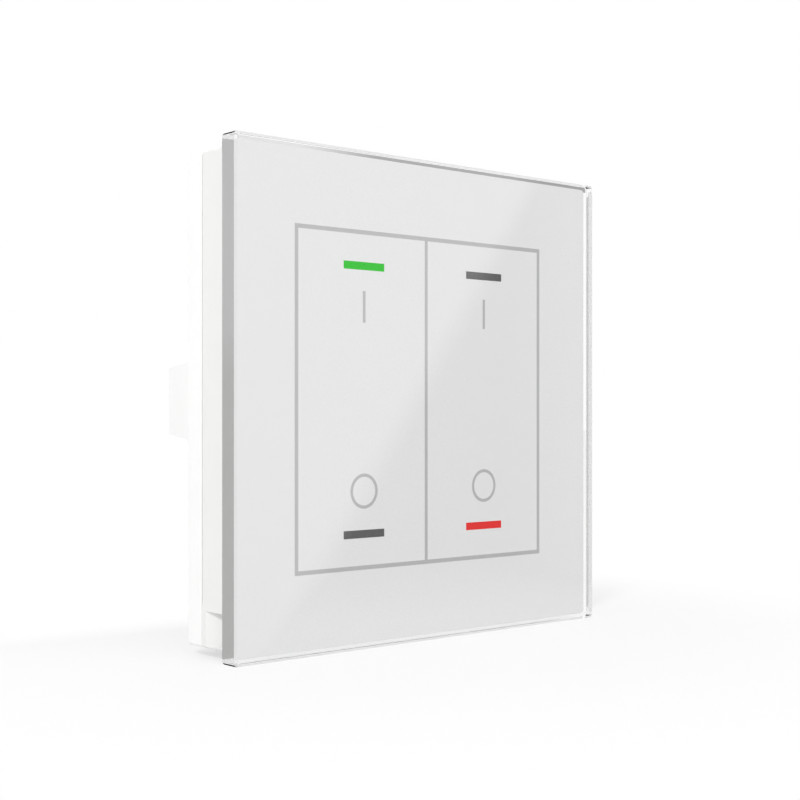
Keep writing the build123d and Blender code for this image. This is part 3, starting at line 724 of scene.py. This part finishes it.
def slot_finishes() -> dict[str, Finish]:
    """The finish of every material slot.

    Returns:
        Finishes by slot name.
    """
    return {
        "clear_glass": PolishedGlass(),
        "ground_edge": GroundEdge(),
        # Near-black ink on the pane's corner chamfers: painted shade that lets lamps through.
        "dark_arris": PrintedInk(grey(0.012), passes_lamps=True, unevenness=0.1),
        "white_ink": PrintedInk(grey(0.668)),
        "grey_ink": PrintedInk(grey(0.41)),
        "green_window": IndicatorWindow((0.0, 0.22, 0.0), (0.0, 1.0, 0.0), 0.25),
        "red_window": IndicatorWindow((0.33, 0.026, 0.024), (1.0, 0.05, 0.05), 0.38),
        "smoke_window": IndicatorWindow(grey(0.11)),
        "adhesive": CellFoam((0.76, 0.76, 0.74), 0.2 * MM),
        "white_moulding": MouldedPlastic((0.845, 0.845, 0.835), 0.4),
        # A lighter copy of white_moulding for the rear base: painted light.
        "painted_light_moulding": MouldedPlastic((0.945, 0.945, 0.94), 0.4),
        "white_box_moulding": MouldedPlastic((0.965, 0.965, 0.96), 0.46, depth=0.008 * MM),
        "clear_moulding": PolishedGlass((0.97, 0.98, 0.98), 1.49, 0.08),
        "spring_steel": WorkedMetal((0.62, 0.62, 0.64), 0.22),
        "plated_steel": WorkedMetal((0.66, 0.67, 0.69), 0.3),
        "soft_iron": WorkedMetal((0.52, 0.52, 0.54), 0.4),
        "circuit_board": CircuitBoard(),
        "chip_black": MouldedPlastic((0.025, 0.025, 0.027), 0.5, 0.1 * MM),
        "ceramic_part": MouldedPlastic((0.42, 0.3, 0.18), 0.45, 0.1 * MM),
        "conductive_foam": CellFoam((0.07, 0.07, 0.072)),
        "led_body": MouldedPlastic((0.82, 0.8, 0.66), 0.25, 0.1 * MM),
        "black_moulding": MouldedPlastic((0.03, 0.03, 0.032), 0.42),
        "relay_blue": MouldedPlastic((0.02, 0.1, 0.36), 0.35),
        "copper_winding": WoundWire((0.72, 0.32, 0.14)),
        "contact_copper": WorkedMetal((0.8, 0.5, 0.3), 0.25, Direction.ACROSS),
        "tinned_copper": WorkedMetal((0.72, 0.7, 0.66), 0.35, Direction.DEPTH),
        "brass_part": WorkedMetal((0.78, 0.6, 0.3), 0.28, Direction.DEPTH),
        "film_yellow": MouldedPlastic((0.78, 0.52, 0.04), 0.4),
        "can_sleeve": WorkedMetal((0.42, 0.44, 0.47), 0.35, Direction.DEPTH),
        "varistor_blue": MouldedPlastic((0.05, 0.16, 0.45), 0.3, 0.5 * MM, 0.02 * MM),
        "fuse_body": MouldedPlastic((0.62, 0.58, 0.5), 0.4),
        "grey_moulding": MouldedPlastic((0.42, 0.43, 0.44), 0.45),
    }


class FinishShelf:
    """Builds each slot's material once and dresses objects with it."""

    def __init__(self) -> None:
        """Reads which slot each node has from the record."""
        self.finishes = slot_finishes()
        self.materials: dict[str, bpy.types.Material] = {}
        self.node_slots = {part["node"]: part["material_slot"] for part in frame["record"]["subparts"]}

    def material(self, slot: str) -> bpy.types.Material:
        """The material of a slot, built when it is first asked for.

        Args:
            slot: The slot's name.

        Returns:
            The material.
        """
        if slot not in self.materials:
            self.materials[slot] = self.finishes[slot].material(slot)
        return self.materials[slot]

    def dress(self, node: str) -> None:
        """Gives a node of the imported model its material.

        Args:
            node: The node's name.
        """
        # A node listed for painted light takes the lighter copy of its slot's material.
        finish = PAINTED_LIGHT_NODES.get(node, self.node_slots[node])
        for worn in frame["nodes"][node].material_slots:
            worn.material = self.material(finish)
        LOG.info("%s has %s", node, finish)


def new_object(name: str, shape: bmesh.types.BMesh, materials: list[bpy.types.Material],
               narrow: float = 0.0) -> bpy.types.Object:
    """Makes an object at the origin from a finished bmesh.

    Args:
        name: The piece's name.
        shape: The mesh, in the model's own frame, which is freed.
        materials: Materials in the order of the faces' indices.
        narrow: Faces with an edge shorter than this are shaded smooth, and the rest flat.

    Returns:
        The new object.
    """
    bmesh.ops.recalc_face_normals(shape, faces=shape.faces)
    for face in shape.faces:
        face.smooth = min(edge.calc_length() for edge in face.edges) < narrow
    mesh = bpy.data.meshes.new(name)
    shape.to_mesh(mesh)
    shape.free()
    for material in materials:
        mesh.materials.append(material)
    thing = bpy.data.objects.new(name, mesh)
    bpy.context.scene.collection.objects.link(thing)
    return thing


def bevel(shape: bmesh.types.BMesh, edges: list[bmesh.types.BMEdge], width: float,
          segments: int = 1) -> None:
    """Bevels edges with a flat face or, with more segments, a round.

    Args:
        shape: The mesh.
        edges: Its edges to bevel.
        width: The bevel's width on the faces beside it.
        segments: The number of faces across the bevel.
    """
    bmesh.ops.bevel(shape, geom=edges, offset=width, offset_type="OFFSET", affect="EDGES",
                    segments=segments, profile=0.5, material=-1, clamp_overlap=True)


class Piece(Protocol):
    """What every part of the scene can do."""

    def build(self) -> None:
        """Builds the part."""


@dataclass
class GlassPane:
    """The pane: chamfered corners, a wide bevel in front and a narrow one behind.

    The ground part of its edge ends short of each corner, on a slant: more is polished at the front.
    """

    low: Vector
    high: Vector
    corner_chamfer: float = 0.4 * MM
    front_bevel: float = 0.44 * MM
    back_bevel: float = 0.12 * MM
    softening: float = 0.06 * MM
    softening_steps: int = 3
    sharp_angle: float = 30.0
    ink_contact: float = 0.02 * MM
    polish_front: float = 1.65 * MM
    polish_back: float = 0.85 * MM
    squareness: float = 0.997
    chamfer_lean: float = 0.7
    narrow: float = 0.08 * MM
    near: float = 0.006 * MM
    cut_tolerance: float = 0.00008 * MM

    def build(self, shelf: FinishShelf) -> bpy.types.Object:
        """Builds the pane and gives each face its finish.

        Args:
            shelf: Where its materials are.

        Returns:
            The pane.
        """
        shape = self.cut_block()
        self.mark_corners(shape)
        kinds = list(PaneFace)
        for face in shape.faces:
            face.material_index = kinds.index(self.kind_of(face))
        materials = [shelf.material(kind.value) for kind in kinds]
        return new_object("polished_pane", shape, materials, self.narrow)

    def cut_block(self) -> bmesh.types.BMesh:
        """Cuts the pane from a block: its corners, its bevels and the softening of every sharp edge.

        Returns:
            The pane's mesh.
        """
        size, middle = self.high - self.low, (self.high + self.low) / 2
        shape = bmesh.new()
        bmesh.ops.create_cube(shape, size=1.0)
        bmesh.ops.transform(shape, matrix=Matrix.Translation(middle) @ Matrix.Diagonal((*size, 1.0)),
                            verts=shape.verts)
        corners = [edge for edge in shape.edges
                   if abs(edge.verts[0].co.y - edge.verts[1].co.y) > size.y / 2]
        bevel(shape, corners, self.corner_chamfer)
        bevel(shape, self.edges_at(shape, self.low.y), self.front_bevel)
        bevel(shape, self.edges_at(shape, self.high.y), self.back_bevel)
        sharp = [edge for edge in shape.edges if edge.calc_face_angle(0.0) > radians(self.sharp_angle)]
        bevel(shape, sharp, self.softening, self.softening_steps)
        for vert in shape.verts:
            if vert.co.y > self.high.y - self.near:
                vert.co.y += self.ink_contact
        return shape

    def edges_at(self, shape: bmesh.types.BMesh, depth: float) -> list[bmesh.types.BMEdge]:
        """Edges whose two ends lie at a depth."""
        return [edge for edge in shape.edges
                if all(abs(end.co.y - depth) < self.near for end in edge.verts)]

    def polish_slope(self) -> float:
        """How much wider the polished part of a corner gets with each metre towards the front."""
        return (self.polish_front - self.polish_back) / (self.high.y - self.low.y)

    def is_polished(self, spot: Vector) -> bool:
        """Tells whether a spot of the edge lies in a corner's polished part."""
        reach = self.polish_back + (self.high.y - spot.y) * self.polish_slope()
        return abs(spot.x) + abs(spot.z) > self.high.x + self.high.z - reach

    def is_square(self, face: bmesh.types.BMFace) -> bool:
        """Tells whether a face is one of the pane's four flat edge faces, or a part of one."""
        return max(abs(face.normal.x), abs(face.normal.z)) > self.squareness

    def mark_corners(self, shape: bmesh.types.BMesh) -> None:
        """Divides the edge faces where the ground part ends and a corner's polished part begins.

        Args:
            shape: The pane with its bevels.
        """
        shape.normal_update()
        for side in (-1, 1):
            for level in (-1, 1):
                start = Vector((side * (self.high.x - self.polish_back), self.high.y, level * self.high.z))
                faces = [face for face in shape.faces if self.is_square(face)]
                rims = [rim for rim in (*shape.verts, *shape.edges)
                        if any(self.is_square(face) for face in rim.link_faces)]
                bmesh.ops.bisect_plane(shape, geom=[*rims, *faces], dist=self.cut_tolerance,
                                       plane_co=start, plane_no=(side, -self.polish_slope(), level))
        shape.normal_update()

    def kind_of(self, face: bmesh.types.BMFace) -> PaneFace:
        """Names a face's kind by the way that it looks and its place.

        Args:
            face: A face of the pane.

        Returns:
            Its kind.
        """
        # Corner chamfer faces take the near-black ink of painted shade.
        if min(abs(face.normal.x), abs(face.normal.z)) > self.chamfer_lean:
            return PaneFace.CORNER
        if self.is_square(face) and not self.is_polished(face.calc_center_median()):
            return PaneFace.GROUND
        return PaneFace.CLEAR


@dataclass
class GlassPanel:
    """The removable front: a bevelled pane of glass, printed on its back, on a moulded carrier."""

    shelf: FinishShelf
    body: str = "glass_panel"
    nodes: tuple[str, ...] = ("white_back_print", "grey_line_print", "green_indicator_window",
                              "red_indicator_window", "unlit_indicator_windows", "bonding_sheet",
                              "panel_carrier")

    def build(self) -> None:
        """Dresses the prints, the sheet and the carrier, and builds the pane in front of them."""
        for node in self.nodes:
            self.shelf.dress(node)
        pane = GlassPane(*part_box("glass_pane")).build(self.shelf)
        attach(pane, self.body)
        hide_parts("glass_pane")
        LOG.info("polished_pane stands for glass_pane")


@dataclass
class SwitchBase:
    """Everything that stays on the wall: housing, base, boards, relays and terminals."""

    shelf: FinishShelf
    body: str = "switch_base"

    def build(self) -> None:
        """Dresses every node of the fixed body."""
        for node in frame["record"]["behaviour"]["bodies"][self.body]:
            self.shelf.dress(node)


@dataclass
class MovingPieces:
    """Relay arms, clamp screws and clamp cages, which move inside the unit."""

    shelf: FinishShelf
    others: tuple[str, ...] = ("switch_base", "glass_panel")

    def build(self) -> None:
        """Dresses every node of the small moving bodies."""
        for body, nodes in frame["record"]["behaviour"]["bodies"].items():
            if body not in self.others:
                for node in nodes:
                    self.shelf.dress(node)


@dataclass(frozen=True)
class Surround:
    """White to the camera, in mirrors and through glass, and plain ambient light for the rest."""

    ambient: float = 0.55

    def build(self) -> None:
        """Makes the world of the two lights."""
        sheet = WorldSheet("surround")
        seen = sheet.rays(Ray.CAMERA, Ray.GLOSSY, Ray.TRANSMISSION)
        sheet.finish(sheet.mix(seen, sheet.background(self.ambient), sheet.background(1.0)))


@dataclass(frozen=True)
class Floor:
    """A wide floor, white to the camera but for the shadow that it keeps under and before the switch."""

    height: float = -43.02 * MM
    reach: float = 3.0
    sides: int = 64
    tone: float = 0.86
    seen_tone: float = 0.88
    near_white: float = 0.56
    near_reach: float = 0.06
    far_reach: float = 0.12
    behind_start: float = 0.005
    behind_end: float = 0.04
    white_in_glass: float = 0.8

    def build(self) -> None:
        """Builds the floor, whose share of plain white grows away from the switch and behind it."""
        shape = bmesh.new()
        bmesh.ops.create_circle(shape, cap_ends=True, segments=self.sides, radius=self.reach)
        bmesh.ops.translate(shape, vec=(0, 0, self.height), verts=shape.verts)
        sheet = ShaderSheet("floor_white")
        seen = sheet.rays(Ray.CAMERA)
        matt = sheet.node("ShaderNodeBsdfDiffuse")
        tone = sheet.ramp(seen, 0.0, 1.0, self.tone, self.seen_tone, Fade.STRAIGHT)
        sheet.link(tone, matt.inputs["Color"])
        away = sheet.ramp(sheet.distance(), self.near_reach, self.far_reach, self.near_white)
        behind = sheet.ramp(sheet.axes()[Direction.DEPTH.value], self.behind_start, self.behind_end)
        direct = sheet.math("MULTIPLY", seen, sheet.largest(away, behind))
        in_glass = sheet.math("MULTIPLY", sheet.rays(Ray.TRANSMISSION), self.white_in_glass)
        white = sheet.largest(direct, in_glass)
        floor = new_object("floor", shape, [sheet.finish(sheet.mix(white, matt.outputs[0], sheet.glow()))])
        floor.visible_glossy = False


def upright_sheet(middle: Place, width: float, height: float, turn: float) -> bmesh.types.BMesh:
    """A flat sheet that stands upright, square to the depth.

    Args:
        middle: Its middle.
        width: Its size across.
        height: Its size upwards.
        turn: The angle by which it is tipped up from lying flat.

    Returns:
        The mesh.
    """
    shape = bmesh.new()
    bmesh.ops.create_grid(shape, x_segments=1, y_segments=1, size=0.5)
    tip = Matrix.Rotation(radians(turn), 4, "X")
    stretch = Matrix.Diagonal((width, height, 1.0, 1.0))
    bmesh.ops.transform(shape, matrix=Matrix.Translation(middle) @ tip @ stretch, verts=shape.verts)
    return shape


@dataclass(frozen=True)
class MirroredCard:
    """A large card in front, out of the picture, that the glass mirrors.

    It is bright on the left and dim on the right, with a slanted line between, and brightens again
    at its far right and at its foot.
    """

    middle: Place = (0.45, -0.8, 0.35)
    width: float = 1.9
    height: float = 1.3
    bright: float = 1.45
    dim: float = 0.05
    lean: float = -0.74
    line_start: float = 0.662
    line_end: float = 0.712
    right_glow: float = 0.65
    right_start: float = 0.78
    right_end: float = 0.93
    foot_glow: float = 1.2
    foot_start: float = -0.13
    foot_end: float = -0.21

    def build(self) -> None:
        """Builds the card with its glow."""
        sheet = ShaderSheet("card_glow")
        across, _, up = sheet.axes()
        along = sheet.math("ADD", across, sheet.math("MULTIPLY", up, self.lean))
        left = sheet.ramp(along, self.line_start, self.line_end, self.bright, self.dim)
        right = sheet.ramp(across, self.right_start, self.right_end, 0.0, self.right_glow)
        foot = sheet.ramp(up, self.foot_start, self.foot_end, 0.0, self.foot_glow)
        glow = sheet.glow(sheet.largest(left, foot, right))
        shape = upright_sheet(self.middle, self.width, self.height, -90)
        card = new_object("card", shape, [sheet.finish(glow)])
        card.visible_camera = False


@dataclass(frozen=True)
class RimFlag:
    """A grey flag behind on the right, seen through the glass alone, that darkens the rim along the top."""

    middle: Place = (0.5, 0.5, 0.2355)
    width: float = 0.6
    height: float = 0.15
    left_tone: float = 0.75
    right_tone: float = 0.37
    turn_start: float = 0.36
    turn_end: float = 0.42

    def build(self) -> None:
        """Builds the flag, paler at its left end."""
        sheet = ShaderSheet("flag_grey")
        tone = sheet.ramp(sheet.axes()[Direction.ACROSS.value], self.turn_start, self.turn_end,
                          self.left_tone, self.right_tone, Fade.STRAIGHT)
        shape = upright_sheet(self.middle, self.width, self.height, 90)
        flag = new_object("flag", shape, [sheet.finish(sheet.glow(tone))])
        flag.visible_camera = False
        flag.visible_diffuse = False
        flag.visible_glossy = False
        flag.visible_shadow = False


@dataclass(frozen=True)
class Softbox:
    """A square lamp that faces the switch. Nothing sees or mirrors it.

    Its power is in watts.
    """

    name: str
    place: Place
    size: float
    power: float

    def build(self) -> None:
        """Hangs the lamp up."""
        data = bpy.data.lights.new(self.name, "AREA")
        data.size = self.size
        data.energy = self.power
        lamp = bpy.data.objects.new(self.name, data)
        lamp.location = self.place
        lamp.rotation_euler = Vector(self.place).to_track_quat("Z", "Y").to_euler()
        lamp.visible_camera = False
        lamp.visible_glossy = False
        bpy.context.scene.collection.objects.link(lamp)


@dataclass(frozen=True)
class StudioCamera:
    """The camera at the photograph's place: low and level, in front on the left."""

    place: Place = (-172.1 * MM, -204.6 * MM, -2.17 * MM)
    turn: float = -41.06
    lens: float = 63.87
    sensor_width: float = 36.0
    side_shift: float = 0.0009
    up_shift: float = 0.0156
    nearest: float = 1 * MM

    def build(self) -> None:
        """Adds the camera and makes it the scene's own."""
        data = bpy.data.cameras.new("camera")
        data.lens = self.lens
        data.sensor_width = self.sensor_width
        data.shift_x = self.side_shift
        data.shift_y = self.up_shift
        data.clip_start = self.nearest
        camera = bpy.data.objects.new("camera", data)
        camera.location = self.place
        camera.rotation_euler = (radians(90), 0.0, radians(self.turn))
        bpy.context.scene.collection.objects.link(camera)
        bpy.context.scene.camera = camera


@dataclass
class Studio:
    """Pale floor, soft light, a white surround, what the glass mirrors and shows, and the camera."""

    parts: tuple[Piece, ...] = (Surround(), Floor(), MirroredCard(), RimFlag(),
                                Softbox("left_softbox", (-0.8, -0.45, 0.75), 0.16, 5.85),
                                Softbox("top_softbox", (0.0, 0.2, 0.9), 0.8, 0.9),
                                StudioCamera())

    def build(self) -> None:
        """Builds every part of the studio."""
        for part in self.parts:
            part.build()
            LOG.info("%s stands", type(part).__name__)


def main() -> None:
    """Dresses the switch, builds the studio and reports each piece."""
    logging.basicConfig(level=logging.INFO, format="%(message)s")
    bpy.context.scene.view_settings.view_transform = "Standard"
    shelf = FinishShelf()
    pieces: tuple[Piece, ...] = (GlassPanel(shelf), SwitchBase(shelf), MovingPieces(shelf), Studio())
    for piece in pieces:
        piece.build()
        LOG.info("%s is built", type(piece).__name__)


if __name__ == "__main__":
    main()
